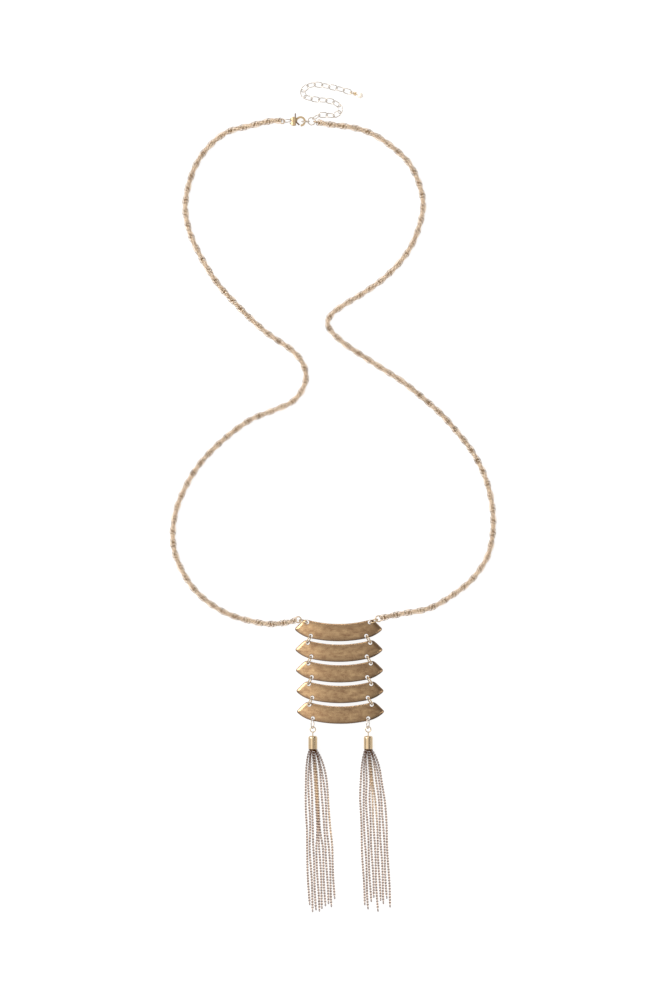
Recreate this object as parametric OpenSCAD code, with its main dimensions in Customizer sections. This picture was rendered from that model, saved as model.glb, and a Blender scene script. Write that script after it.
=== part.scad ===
/* [Plates] */
// Number of plates in the pendant
plate_count = 5; // [3:1:7]
// Width of a plate from tip to tip
plate_w = 52.4; // [48:0.1:60]
// Height of a plate at its middle
plate_h = 10.4; // [9:0.1:13]
// Thickness of the plate metal
plate_t = 1.2; // [0.8:0.1:1.4]
// Distance between the two upper corners of a plate
plate_top_w = 40.8; // [38:0.1:44]
// Radius of the hollow upper edge
plate_top_r = 73; // [60:1:100]
// Radius of the long lower edge
plate_bottom_r = 80; // [60:1:100]
// Distance between the two places where the lower edge starts to round upwards
plate_flat_w = 34; // [28:0.5:38]
// Radius of the rounded lower corners
plate_corner_r = 19; // [16:0.5:24]
// Radius that the plates are bent to across their width
plate_bend_r = 110; // [95:1:160]
// Depth of the tips below the middle of the upper edge
tip_drop = 3.4; // [2:0.1:5]
// Diameter of the holes in a plate
hole_d = 2.3; // [2.2:0.05:2.4]
// Distance between the two upper holes of a plate
top_hole_span = 37.4; // [34:0.1:38.5]
// Distance between the two lower holes of a plate
bottom_hole_span = 33.2; // [30:0.1:35]
// Distance of a hole's centre from the long edge beside it
hole_edge = 1.5; // [1.5:0.1:2]
// Sideways step from each plate to the one below it
stack_step = 0.3; // [0:0.1:0.4]

/* [Rings] */
// Outer diameter of the jump rings that join the plates and the rope chain
ring_d = 5.8; // [5.7:0.1:6]
// Wire thickness of the jump rings
ring_wire = 0.7; // [0.5:0.05:0.8]
// How much shorter than a plate ring's middle diameter the way between its two holes is
ring_slack = 0.2; // [0.1:0.01:0.3]
// Lean of a standing jump ring away from upright
ring_lean = 14; // [0:1:16]
// Outer diameter of the rings that carry the tassels
tassel_ring_d = 6.9; // [6.4:0.1:8]
// Outer diameter of the two small rings at the clasp
small_ring_d = 5.2; // [5:0.1:6]
// Wire thickness of the two small rings at the clasp
small_ring_wire = 0.55; // [0.4:0.05:0.6]
// Outer diameter of the flat ring that the clasp hooks into
end_ring_d = 5.1; // [4.8:0.1:6]
// Wire thickness of that flat ring
end_ring_wire = 0.7; // [0.5:0.05:0.8]
// Clear space kept between two pieces that lie beside each other
gap = 0.12; // [0.1:0.01:0.2]
// Play of a ring where it hangs in another ring, an eye or a bar
play = 0.25; // [0.2:0.01:0.3]

/* [Rope chain] */
// Outer diameter of the twisted rope chain
rope_d = 4; // [3:0.1:5]
// Outer diameter of the eyes of the rope chain at the plates
rope_eye_d = 4.2; // [3.8:0.1:5]
// Outer diameter of the eyes of the rope chain at the clasp
clasp_eye_d = 3.4; // [3.2:0.1:4]
// Wire thickness of the eyes of the rope chain
eye_wire = 0.7; // [0.5:0.05:0.8]
// Distance between two sections of the rope chain's plain tube
rope_step = 10; // [8:0.5:12]

/* [Tassels] */
// Diameter of a tassel cap
cap_d = 5.4; // [5:0.1:7]
// Length of a tassel cap
cap_len = 7.8; // [6:0.1:10]
// Wall of a tassel cap
cap_wall = 0.4; // [0.3:0.05:0.5]
// Radius of a tassel cap's shoulder
cap_shoulder = 1.3; // [0.6:0.1:2]
// Outer diameter of the wire eye on a cap
cap_eye_d = 3.8; // [3.6:0.1:4.6]
// Wire thickness of the eye and its stem
cap_wire = 0.6; // [0.4:0.05:0.8]
// Length of the bare stem between the eye and the cap
stem_len = 1.9; // [0.5:0.1:4]
// Length of the longest strand below the cap
tassel_len = 99.3; // [70:0.1:130]
// Diameter of one strand of a tassel
strand_d = 0.9; // [0.7:0.05:1]
// Distance between neighbouring strands where they are spread out
strand_pitch = 1.9; // [1.5:0.05:2.4]
// Sideways drift of a tassel over its length
tassel_drift = 4.6; // [0:0.2:8]
// How far the fanned strands' middle lies to the right of their cap
tassel_shift = 1.2; // [0:0.1:1.6]
// Length over which the strands fan out below the cap
fan_len = 10; // [9:1:14]
// Length over which the left tassel's three middle strands stay stacked together
left_bundle_len = 46; // [35:1:55]
// Length over which the right tassel's three middle strands stay stacked together
right_bundle_len = 18; // [14:1:40]
// Distance across between the stacked strands
bundle_pitch = 0.75; // [0.6:0.05:0.9]
// How much closer in the other strands lie beside the stacked ones
bundle_tuck = 0.6; // [0.2:0.1:1]
// Height of the sideways waves of a strand
wave = 0.2; // [0:0.05:0.3]

/* [Clasp] */
// Thickness of the clasp's body
clasp_t = 2.9; // [2.7:0.1:3.2]
// Thickness of the clasp's hook and tail
hook_t = 1; // [0.8:0.1:1.1]
// Outer radius of the clasp's hook
hook_r = 3.05; // [2.9:0.05:3.4]
// Width of the clasp's hook band
hook_band = 1.1; // [0.8:0.05:1.2]
// Distance from the lever's pin to the middle of the hook
hook_reach = 3.2; // [3.1:0.05:3.4]
// Radius of the broad end of the clasp's body
body_r = 2.6; // [2.4:0.05:3]
// How much the two broad faces of the clasp's body are flattened
face_cut = 0.1; // [0.05:0.05:0.2]
// Distance from the lever's pin to the hole in the tail
tail_reach = 3; // [2.8:0.1:4]
// Diameter of the hole in the tail
tail_hole_d = 1.7; // [1.6:0.05:1.9]
// Metal round the hole in the tail
tail_wall = 0.4; // [0.3:0.05:0.6]
// Thickness of the lever
lever_t = 0.9; // [0.7:0.05:1]
// Width of the lever's gate
gate_w = 0.8; // [0.6:0.05:0.9]
// Width of the lever's thumb stem
thumb_w = 0.7; // [0.5:0.05:0.9]
// Distance from the lever's pin to the tip of the thumb stem
thumb_reach = 4.9; // [3.8:0.1:5.5]
// Diameter of the lever's pin
pin_d = 0.8; // [0.6:0.05:0.9]
// Metal of the lever round its pin
lever_wall = 0.45; // [0.35:0.05:0.5]

/* [Extender] */
// Number of links in the extender chain
link_count = 18; // [12:1:20]
// Outer length of a link
link_len = 5.7; // [5.5:0.1:6]
// Outer width of a link
link_w = 4; // [3.8:0.1:4.4]
// Wire thickness of a link
link_wire = 0.5; // [0.4:0.05:0.55]
// Roll of the links to either side, in turn
link_roll = 40; // [35:1:45]
// Roll of the first link, which hangs in the flat ring
first_roll = 60; // [55:1:70]
// Diameter of the bead at the end of the extender
bead_d = 3.5; // [3:0.1:5]
// Outer diameter of the bead's wire eye
bead_eye_d = 2.6; // [2.4:0.1:3.4]
// Wire thickness of the bead's eye, coil and pin
bead_wire = 0.5; // [0.4:0.05:0.6]
// Outer diameter of the wire coil beside the bead
coil_d = 2.2; // [1.8:0.1:3]
// Turns of the wire coil beside the bead
coil_turns = 3; // [1:1:5]

/* [Hidden] */
$fn = 64;

// Middle of the upper edge of the first plate, and the lever's pin of the clasp
pendant_at = [3.3, -75.4];
clasp_at = [-22.6, 225.8];
// Headings of the rope chain where it leaves the first plate, left and right, and the flat ring
plate_headings = [164, 22];
ring_heading = -8;
// Heading of the extender's first link, seen from the flat ring
extender_heading = 58;

// The rope chain's way on the surface, from the clasp to the first plate
left_route = [
    [-37, 226], [-50, 223], [-64, 219], [-75, 210], [-83, 198], [-88, 181], [-88, 168], [-83, 152],
    [-71, 131], [-57, 115], [-41, 100], [-24, 88], [-17, 78], [-17, 68], [-24, 58], [-37, 52],
    [-51, 46], [-69, 32], [-83, 16], [-93, -4], [-96, -22], [-93, -38], [-82, -56], [-64, -69],
    [-43, -75], [-30, -75]
];
right_route = [
    [-3, 224], [12, 222], [24, 218], [36, 210], [46, 200], [52, 187], [54, 174], [50, 158],
    [43, 145], [32, 133], [20, 124], [7, 116], [-1, 110], [-3, 103], [5, 94], [18, 85],
    [32, 76], [44, 68], [63, 52], [74, 40], [84, 27], [91, 13], [95, -2], [96, -18],
    [93, -34], [84, -48], [72, -58], [58, -66], [43, -69], [33, -71]
];
// The extender chain's way on the surface, after its first joint
extender_route = [
    [-7, 230], [0, 229], [4, 231], [5, 234], [-1, 238], [-11, 239], [-18, 241], [-18, 245],
    [-12, 248], [-4, 247], [5, 245], [14, 242]
];

// Where each strand leaves the cap, as shares of the room there, and its length on the left
// and right, as shares of the longest strand
STRAND_X = 0;
STRAND_Z = 1;
STRAND_ENDS = 2;
strands = [
    [-0.95, 0, [0.96, 0.955]],
    [-0.4, -0.5, [0.99, 0.985]],
    [-0.75, 0.5, [0.985, 0.93]],
    [-0.33, 0, [1, 0.91]],
    [0, 0.5, [0.98, 1]],
    [0.33, 0, [0.97, 0.925]],
    [0.75, 0.5, [0.95, 0.955]],
    [0.4, -0.5, [0.96, 0.91]],
    [0.95, 0, [0.925, 0.965]]
];
middle = (len(strands) - 1) / 2;

LEFT = -1;
RIGHT = 1;
SIDES = ["left", "right"];

function unit(v) = v / norm(v);
function polar(a) = [cos(a), sin(a), 0];
function side_of(k) = 2 * k - 1;

// Places on a plate, measured from the middle of its upper edge
function upper_edge(x) = plate_top_r - sqrt(pow(plate_top_r, 2) - x * x);
function lower_edge(x) = plate_bottom_r - plate_h - sqrt(pow(plate_bottom_r, 2) - x * x);
bend_z = -sqrt(pow(plate_bend_r, 2) - pow(plate_w / 2, 2));
function underside(x) = bend_z + sqrt(pow(plate_bend_r, 2) - x * x);
function upper_hole(side) = let (x = top_hole_span / 2)
    [side * x, upper_edge(x) - hole_edge, underside(x) + plate_t / 2];
function lower_hole(side) = let (x = bottom_hole_span / 2)
    [side * x, lower_edge(x) + hole_edge, underside(x) + plate_t / 2];

// A ring that stands on the surface, leaning, and passes through two places of a mean height
function chord(d, wire, lean, height) = let (r = (d - wire) / 2)
    2 * sqrt(r * r - pow(r + (wire / 2 - height) / cos(lean), 2));
function level_run(span, rise) = sqrt(span * span - rise * rise);

// The plates hang from each other on their rings
hole_offset = lower_hole(RIGHT) - upper_hole(RIGHT);
plate_pitch = -hole_offset[1]
    + level_run(ring_d - ring_wire - ring_slack, norm([abs(hole_offset[0]) + stack_step, hole_offset[2]]));
function plate_at(i) = [pendant_at[0] + stack_step * (i - 1), pendant_at[1] - plate_pitch * (i - 1), 0];

// The rope chain's eyes, at the plates and at the clasp
rope_z = rope_d / 2;
function eye_seat(eye_d, wire) = eye_d / 2 - eye_wire - wire / 2 - play;
function chain_ring_from(side) = plate_at(1) + upper_hole(side);
function chain_ring_to(side) = let (
        from = chain_ring_from(side),
        rise = rope_z - from[2],
        span = chord(ring_d, ring_wire, ring_lean, (rope_z + from[2]) / 2),
        run = level_run(span, rise) * polar(plate_headings[(side + 1) / 2])
    ) from + [run[0], run[1], rise];
function plate_eye(side) = chain_ring_to(side)
    + eye_seat(rope_eye_d, ring_wire) * polar(plate_headings[(side + 1) / 2]);

clasp_z = clasp_t / 2;
pin_at = [clasp_at[0], clasp_at[1], clasp_z];
small_chord = chord(small_ring_d, small_ring_wire, ring_lean, (clasp_z + rope_z) / 2);
small_run = level_run(small_chord, rope_z - clasp_z);
// How far inside the hook a small ring crosses it, so that it also clears the hook's lower edge
small_r = (small_ring_d - small_ring_wire) / 2;
small_drop = (small_r * cos(ring_lean) + small_ring_wire / 2 - clasp_z) / cos(ring_lean);
hook_seat = sqrt(pow(small_r, 2) - pow(small_drop, 2))
    - sqrt(pow(small_r - small_ring_wire / 2 - gap, 2) - pow(small_drop + hook_t / 2 / cos(ring_lean), 2));
tail_ring_from = pin_at - [tail_reach, 0, 0];
tail_ring_to = tail_ring_from + [-small_run, 0, rope_z - clasp_z];
left_eye = tail_ring_to - [eye_seat(clasp_eye_d, small_ring_wire), 0, 0];

hook_inner = hook_r - hook_band;
catch_ring_from = pin_at + [hook_reach + hook_inner - hook_seat, 0, 0];
catch_ring_to = catch_ring_from + [small_run, 0, rope_z - clasp_z];
end_ring_r = (end_ring_d - end_ring_wire) / 2;
end_ring_at = catch_ring_to + [end_ring_r - (end_ring_wire + small_ring_wire) / 2 - play, 0, 0];
right_eye = end_ring_at + polar(ring_heading)
    * (end_ring_r + (clasp_eye_d - eye_wire) / 2 - (end_ring_wire + eye_wire) / 2 - play);

// A smooth curve through chosen points, and places at even distances along it
function bent(p, i, t) = let (
        a = p[max(i - 1, 0)],
        b = p[i],
        c = p[i + 1],
        d = p[min(i + 2, len(p) - 1)]
    ) 0.5 * (2 * b + (c - a) * t + (2 * a - 5 * b + 4 * c - d) * t * t + (3 * b - a - 3 * c + d) * pow(t, 3));
CURVE_STEPS = 10;
function curve(p) = [
    for (i = [0 : len(p) - 2], k = [0 : CURVE_STEPS - 1]) bent(p, i, k / CURVE_STEPS),
    p[len(p) - 1]
];
function mileage(p) = [for (i = 0, s = 0; i < len(p); s = s + norm(p[min(i + 1, len(p) - 1)] - p[i]), i = i + 1) s];
function along(p, miles, s) = let (keys = [for (i = [0 : len(p) - 1]) i])
    [for (axis = [0 : len(p[0]) - 1]) lookup(s, [for (i = keys) [miles[i], p[i][axis]]])];

// A closed tube through a row of places, with its sections upright
function tube_section(p, i, r, sides) = let (
        ahead = unit(p[min(i + 1, len(p) - 1)] - p[max(i - 1, 0)]),
        across = unit(cross(ahead, [0, 0, 1])),
        up = cross(across, ahead)
    ) [for (k = [0 : sides - 1]) p[i] + r * (cos(360 * k / sides) * across + sin(360 * k / sides) * up)];
module tube(p, r, sides) {
    last = len(p) - 1;
    polyhedron(
        points = [for (i = [0 : last]) each tube_section(p, i, r, sides)],
        faces = concat(
            [[for (k = [0 : sides - 1]) sides - 1 - k]],
            [[for (k = [0 : sides - 1]) last * sides + k]],
            [for (i = [0 : last - 1], k = [0 : sides - 1])
                let (a = i * sides + k, b = i * sides + (k + 1) % sides)
                [a, b, b + sides, a + sides]]
        ),
        convexity = 10
    );
}

module ring(d, wire) {
    rotate_extrude()
        translate([(d - wire) / 2, 0])
            circle(d = wire);
}

// Turns a piece so that its X runs along one direction and its Y along another
module set_along(at, x_dir, y_dir) {
    z_dir = cross(x_dir, y_dir);
    multmatrix([
        [x_dir[0], y_dir[0], z_dir[0], at[0]],
        [x_dir[1], y_dir[1], z_dir[1], at[1]],
        [x_dir[2], y_dir[2], z_dir[2], at[2]],
        [0, 0, 0, 1]
    ])
        children();
}

// The direction across a line that is turned from upright by an angle about the line
function rolled(line, angle) = let (
        level = unit(cross(line, [0, 0, 1])),
        upright = cross(level, line)
    ) cos(angle) * upright + sin(angle) * level;

// A ring through two places, with its middle above the line between them
module standing_ring(from, to, d, wire, lean) {
    line = unit(to - from);
    up = rolled(line, lean);
    rise = sqrt(pow((d - wire) / 2, 2) - pow(norm(to - from) / 2, 2));
    set_along((from + to) / 2 + rise * up, line, up)
        ring(d, wire);
}

module plate_outline() {
    // The long lower edge, and the rounder corners that run on from its ends
    flat_x = plate_flat_w / 2;
    turn = asin(flat_x / plate_bottom_r);
    corner_at = [flat_x - plate_corner_r * sin(turn), lower_edge(flat_x) + plate_corner_r * cos(turn)];
    top_x = plate_top_w / 2;
    corner_y = upper_edge(top_x);
    intersection() {
        difference() {
            union() {
                intersection() {
                    translate([0, plate_bottom_r - plate_h])
                        circle(plate_bottom_r);
                    translate([-flat_x, -plate_h])
                        square([2 * flat_x, 2 * plate_h]);
                }
                for (side = [LEFT, RIGHT])
                    intersection() {
                        translate([side * corner_at[0], corner_at[1]])
                            circle(plate_corner_r);
                        translate([side * (flat_x + plate_w) / 2, 0])
                            square([plate_w - flat_x + gap, 2 * plate_h], center = true);
                    }
            }
            translate([0, plate_top_r])
                circle(plate_top_r);
        }
        // The ends slant outwards at 45 degrees from the upper corners
        polygon([
            [-top_x, corner_y], [top_x, corner_y],
            [top_x + 2 * plate_h, corner_y - 2 * plate_h], [-top_x - 2 * plate_h, corner_y - 2 * plate_h]
        ]);
        translate([0, -tip_drop])
            circle(plate_w / 2);
    }
}

module bent_sheet() {
    translate([0, 0, bend_z])
        rotate([90, 0, 0])
            difference() {
                cylinder(r = plate_bend_r + plate_t, h = 4 * plate_h, center = true, $fn = 360);
                cylinder(r = plate_bend_r, h = 5 * plate_h, center = true, $fn = 360);
            }
}

module plate(i) {
    color("darkgoldenrod")
        translate(plate_at(i))
            difference() {
                intersection() {
                    linear_extrude(height = 2 * underside(0) + 4 * plate_t, center = true)
                        plate_outline();
                    bent_sheet();
                }
                for (side = [LEFT, RIGHT], at = [upper_hole(side), lower_hole(side)])
                    translate([at[0], at[1], 0])
                        cylinder(d = hole_d, h = 2 * underside(0) + 4 * plate_t, center = true);
            }
}

module plate_ring(side, i) {
    color("gold")
        standing_ring(plate_at(i) + lower_hole(side), plate_at(i + 1) + upper_hole(side),
            ring_d, ring_wire, -side * ring_lean);
}

module chain_ring(side) {
    color("gold")
        standing_ring(chain_ring_from(side), chain_ring_to(side), ring_d, ring_wire, side * ring_lean);
}

// The tassels hang in rings from the lower holes of the last plate
tassel_from = lower_hole(RIGHT)[2];
tassel_z = cap_d / 2;
tassel_run = level_run(chord(tassel_ring_d, ring_wire, ring_lean, (tassel_from + tassel_z) / 2),
    tassel_z - tassel_from);
function tassel_ring_from(side) = plate_at(plate_count) + lower_hole(side);
function tassel_ring_to(side) = tassel_ring_from(side) + [0, -tassel_run, tassel_z - tassel_from];
cap_eye_r = (cap_eye_d - cap_wire) / 2;
cap_eye_seat = cap_eye_r - (cap_wire + ring_wire) / 2 - play;
function cap_eye_at(side) = tassel_ring_to(side) - [0, cap_eye_seat, 0];
function cap_top(side) = cap_eye_at(side) - [0, cap_eye_d / 2 + stem_len, 0];
function cap_mouth(side) = cap_top(side) - [0, cap_len, 0];

module tassel_ring(side) {
    color("gold")
        standing_ring(tassel_ring_from(side), tassel_ring_to(side), tassel_ring_d, ring_wire, ring_lean);
}

// The cap's outline to one side of its axis, with its mouth at 0
module cap_half(r, len, shoulder) {
    square([r, len - shoulder]);
    square([r - shoulder, len]);
    translate([r - shoulder, len - shoulder])
        circle(shoulder);
}

module tassel_cap(side) {
    inner_r = cap_d / 2 - cap_wall;
    inner_shoulder = max(cap_shoulder - cap_wall, gap);
    stem_start = cap_len - cap_wall / 2;
    color("goldenrod")
        translate(cap_mouth(side))
            rotate([-90, 0, 0]) {
                rotate_extrude()
                    difference() {
                        cap_half(cap_d / 2, cap_len, cap_shoulder);
                        translate([0, -1])
                            cap_half(inner_r, cap_len - cap_wall + 1, inner_shoulder);
                    }
                translate([0, 0, stem_start])
                    cylinder(d = cap_wire, h = stem_len + cap_wall / 2 + cap_wire / 2);
                translate([0, 0, cap_len + stem_len + cap_eye_d / 2])
                    rotate([90, 0, 0])
                        ring(cap_eye_d, cap_wire);
            }
}

// The strands fan out below the cap and sink to the surface. The middle one rides on its two
// neighbours until the three part
mouth_r = cap_d / 2 - cap_wall - strand_d / 2 - gap;
row_rise = strand_d + gap;
strand_z = strand_d / 2;
part_len = 1.5 * fan_len;
function eased(x) = let (t = min(max(x, 0), 1)) t * t * (3 - 2 * t);
function parted(t, side) = eased((t - (side == LEFT ? left_bundle_len : right_bundle_len)) / part_len);
function is_bundled(k) = abs(k - middle) <= 1;
function fanned(k, t, side) = let (
        start = mouth_r * strands[k][STRAND_X],
        end = (k - middle) * strand_pitch,
        held = is_bundled(k) ? (k - middle) * bundle_pitch : end - sign(k - middle) * bundle_tuck
    ) held + (start - held) * exp(-t / fan_len) + (end - held) * parted(t, side);
function sunk(k, t, side) = let (
        start = tassel_z + 2 * row_rise * strands[k][STRAND_Z],
        rise = k == middle ? row_rise : 0
    ) strand_z + rise * (1 - parted(t - part_len / 2, side)) + (start - rise - strand_z) * exp(-1.1 * t / fan_len);
function drifted(t) = tassel_shift * (1 - exp(-t / fan_len)) + tassel_drift * t / tassel_len;
function strand_wave(k, t, side) = wave * (is_bundled(k) ? parted(t, side) : 1 - exp(-t / fan_len))
    * sin(9 * t + 137 * k + 60 * side);
function strand_point(k, t, side) = let (below = max(t, 0))
    cap_mouth(side) + [
        fanned(k, below, side) + drifted(below) + strand_wave(k, below, side),
        -t,
        sunk(k, below, side) - tassel_z
    ];
head_deep = 0.45 * cap_len;
head_len = 0.3 * cap_len;
STRAND_SECTIONS = 20;
function strand_path(k, side) = let (
        end = tassel_len * strands[k][STRAND_ENDS][(side + 1) / 2],
        start = -head_deep - head_len / 2
    ) concat([strand_point(k, start, side)],
        [for (i = [0 : STRAND_SECTIONS - 1]) strand_point(k, end * pow(i / (STRAND_SECTIONS - 1), 1.4), side)]);

module tassel(side) {
    head_r = cap_d / 2 - cap_wall - gap;
    color("saddlebrown") {
        for (k = [0 : 2 * middle])
            tube(strand_path(k, side), strand_d / 2, 6);
        translate(cap_mouth(side) + [0, head_deep + head_len, 0])
            rotate([90, 0, 0])
                cylinder(r = head_r, h = head_len);
    }
}

function flat(p) = [for (q = p) [q[0], q[1], rope_z]];
function rope_points(side) = side == LEFT
    ? concat([left_eye], flat(left_route), [plate_eye(LEFT)])
    : concat([right_eye], flat(right_route), [plate_eye(RIGHT)]);

module rope_chain(side) {
    way = curve(rope_points(side));
    miles = mileage(way);
    start = (clasp_eye_d - eye_wire) / 2;
    end = miles[len(miles) - 1] - (rope_eye_d - eye_wire) / 2;
    count = ceil((end - start) / rope_step);
    places = [for (i = [0 : count]) along(way, miles, start + (end - start) * i / count)];
    ahead = unit(places[0] - rope_points(side)[0]);
    color("tan") {
        tube(places, rope_d / 2, 8);
        set_along(rope_points(side)[0], ahead, rolled(ahead, side == LEFT ? 90 : 0))
            ring(clasp_eye_d, eye_wire);
        translate(plate_eye(side))
            ring(rope_eye_d, eye_wire);
    }
}

// The tail and the broad end of the body, with straight sides that touch both circles
module clasp_body_outline() {
    tail_r = tail_hole_d / 2 + tail_wall;
    side_angle = acos((body_r - tail_r) / (tail_reach + shoulder_x));
    difference() {
        union() {
            translate([-tail_reach, 0])
                circle(tail_r);
            translate([shoulder_x, 0])
                circle(body_r);
            polygon([
                [shoulder_x - body_r * cos(side_angle), body_r * sin(side_angle)],
                [-tail_reach - tail_r * cos(side_angle), tail_r * sin(side_angle)],
                [-tail_reach - tail_r * cos(side_angle), -tail_r * sin(side_angle)],
                [shoulder_x - body_r * cos(side_angle), -body_r * sin(side_angle)]
            ]);
        }
        translate([hook_reach, 0])
            circle(hook_inner);
        // The lever's gate swings inwards below the hook's root
        translate([gate_w / 2, -2 * body_r])
            square([2 * body_r, 2 * body_r]);
    }
}

// A round hook, open below between its tip and the body, where the lever closes it
module hook_outline() {
    difference() {
        translate([hook_reach, 0])
            circle(hook_r);
        translate([hook_reach, 0])
            circle(hook_inner);
        translate([-hook_reach, -2 * hook_r])
            square([2 * hook_reach, 2 * hook_r]);
    }
}

// The body is flat and thickest at its broad end, and thins to the hook's thickness at the tail
shoulder_x = -body_r / 3;
swell = (clasp_t - hook_t) / 2 + face_cut;
swell_r = (pow(tail_reach + shoulder_x, 2) + swell * swell) / (2 * swell);

module swell_limit(face) {
    translate([shoulder_x, 0, face * (clasp_z + face_cut - swell_r)])
        rotate([90, 0, 0])
            cylinder(r = swell_r, h = 6 * body_r, center = true, $fn = 180);
}

module clasp_body() {
    slot = lever_t + 2 * gap;
    lever_r = pin_d / 2 + gap + lever_wall;
    slot_back = lever_r + 2 * body_r / 3;
    color("goldenrod")
        translate(pin_at) {
            difference() {
                union() {
                    intersection() {
                        linear_extrude(height = clasp_t, center = true)
                            clasp_body_outline();
                        swell_limit(1);
                        swell_limit(-1);
                    }
                    linear_extrude(height = hook_t, center = true)
                        hook_outline();
                }
                translate([-tail_reach, 0, 0])
                    cylinder(d = tail_hole_d, h = 2 * clasp_t, center = true);
                // Room for the lever between the clasp's two cheeks
                translate([-slot_back, -2 * body_r, -slot / 2])
                    cube([slot_back + thumb_w / 2 + gap, 4 * body_r, slot]);
                translate([0, -2 * body_r, -slot / 2])
                    cube([hook_reach / 2, 2 * body_r + lever_r + gap, slot]);
            }
            cylinder(d = pin_d, h = slot + clasp_t / 4, center = true);
        }
}

module clasp_lever() {
    gate_len = norm([hook_reach - gate_w, hook_r - hook_band / 2]) - gate_w / 4;
    gate_angle = -atan2(hook_r - hook_band / 2, hook_reach - gate_w / 2);
    color("sienna")
        translate(pin_at)
            difference() {
                translate([0, 0, -lever_t / 2])
                    linear_extrude(height = lever_t) {
                        circle(pin_d / 2 + gap + lever_wall);
                        rotate(gate_angle)
                            translate([0, -gate_w / 2])
                                square([gate_len, gate_w]);
                        translate([-thumb_w / 2, 0])
                            square([thumb_w, thumb_reach - thumb_w / 2]);
                        translate([0, thumb_reach - thumb_w / 2])
                            circle(thumb_w / 2);
                    }
                cylinder(d = pin_d + 2 * gap, h = 2 * lever_t, center = true);
            }
}

module clasp_tail_ring() {
    color("gold")
        standing_ring(tail_ring_from, tail_ring_to, small_ring_d, small_ring_wire, ring_lean);
}

module catch_ring() {
    color("gold")
        standing_ring(catch_ring_from, catch_ring_to, small_ring_d, small_ring_wire, ring_lean);
}

module end_ring() {
    color("gold")
        translate(end_ring_at)
            ring(end_ring_d, end_ring_wire);
}

// The extender's links hang in each other at joints spaced along its route
link_overlap = link_wire + play;
link_pitch = link_len - link_wire - link_overlap;
joint_z = (link_w - link_wire) / 2 * sin(link_roll) + link_wire / 2;
first_joint = end_ring_at + polar(extender_heading)
    * (end_ring_r - (end_ring_wire + link_wire) / 2 - play + link_overlap / 2);
extender_way = curve(concat([[first_joint[0], first_joint[1]]], extender_route));
extender_miles = mileage(extender_way);
function joint_height(i) = joint_z + (rope_z - joint_z) * max(1 - i / 2, 0);
function joint(i) = let (at = along(extender_way, extender_miles, i * link_pitch))
    [at[0], at[1], joint_height(i)];
function roll_of(i) = i == 0 ? first_roll : (i % 2 == 0 ? link_roll : -link_roll);

// One link in its own plane, with its middle at 0
module oval_link() {
    r = (link_w - link_wire) / 2;
    straight = link_len - link_w;
    for (end = [LEFT, RIGHT]) {
        translate([end * straight / 2, 0])
            rotate(-90 * end)
                rotate_extrude(angle = 180)
                    translate([r, 0])
                        circle(d = link_wire);
        translate([0, end * r, 0])
            rotate([0, 90, 0])
                cylinder(d = link_wire, h = straight, center = true);
    }
}

module extender_link(i) {
    line = unit(joint(i + 1) - joint(i));
    color("wheat")
        set_along((joint(i) + joint(i + 1)) / 2, line, rolled(line, 90 - roll_of(i)))
            oval_link();
}

// The bead hangs in the last link on a wire eye with a coil beside it
last_joint = joint(link_count);
coil_len = coil_turns * bead_wire;
drop_span = bead_eye_d - bead_wire / 2 + coil_len + bead_d / 2;
drop_rise = bead_d / 2 - last_joint[2];
drop_heading = unit(joint(link_count) - joint(link_count - 1));
drop_line = unit([drop_heading[0], drop_heading[1], drop_rise / drop_span]);

module on_drop_line(distance) {
    set_along(last_joint + distance * drop_line, drop_line, rolled(drop_line, 0))
        children();
}

module extender_drop() {
    eye_r = (bead_eye_d - bead_wire) / 2;
    eye_mid = eye_r - (link_wire + bead_wire) / 4 - play / 2;
    coil_start = eye_mid + bead_eye_d / 2;
    pin_len = coil_len + bead_d + 2 * bead_wire;
    color("gold") {
        set_along(last_joint + eye_mid * drop_line, drop_line, rolled(drop_line, -roll_of(link_count - 1)))
            ring(bead_eye_d, bead_wire);
        on_drop_line(coil_start - bead_wire / 2)
            rotate([0, 90, 0])
                cylinder(d = bead_wire, h = pin_len);
        for (turn = [0 : coil_turns - 1])
            on_drop_line(coil_start + (turn + 0.5) * bead_wire)
                rotate([0, 90, 0])
                    cylinder(d = coil_d, h = 0.9 * bead_wire, center = true);
    }
}

module extender_bead() {
    on_drop_line(bead_eye_d + coil_len + bead_d / 2)
        color("wheat")
            difference() {
                sphere(d = bead_d);
                rotate([0, 90, 0])
                    cylinder(d = bead_wire + 2 * gap, h = 2 * bead_d, center = true);
            }
}

function link_name(i) = str("extender_link_", i < 9 ? "0" : "", i + 1);

for (i = [1 : plate_count])
    plate(i);
for (k = [0, 1], i = [1 : plate_count - 1])
    plate_ring(side_of(k), i);
for (k = [0, 1]) {
    chain_ring(side_of(k));
    tassel_ring(side_of(k));
    tassel_cap(side_of(k));
    tassel(side_of(k));
    rope_chain(side_of(k));
}
clasp_body();
clasp_lever();
clasp_tail_ring();
catch_ring();
end_ring();
for (i = [0 : link_count - 1])
    extender_link(i);
extender_drop();
extender_bead();
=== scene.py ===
import math

import bmesh
import bpy
import numpy as np
from mathutils import Matrix, Vector


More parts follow.
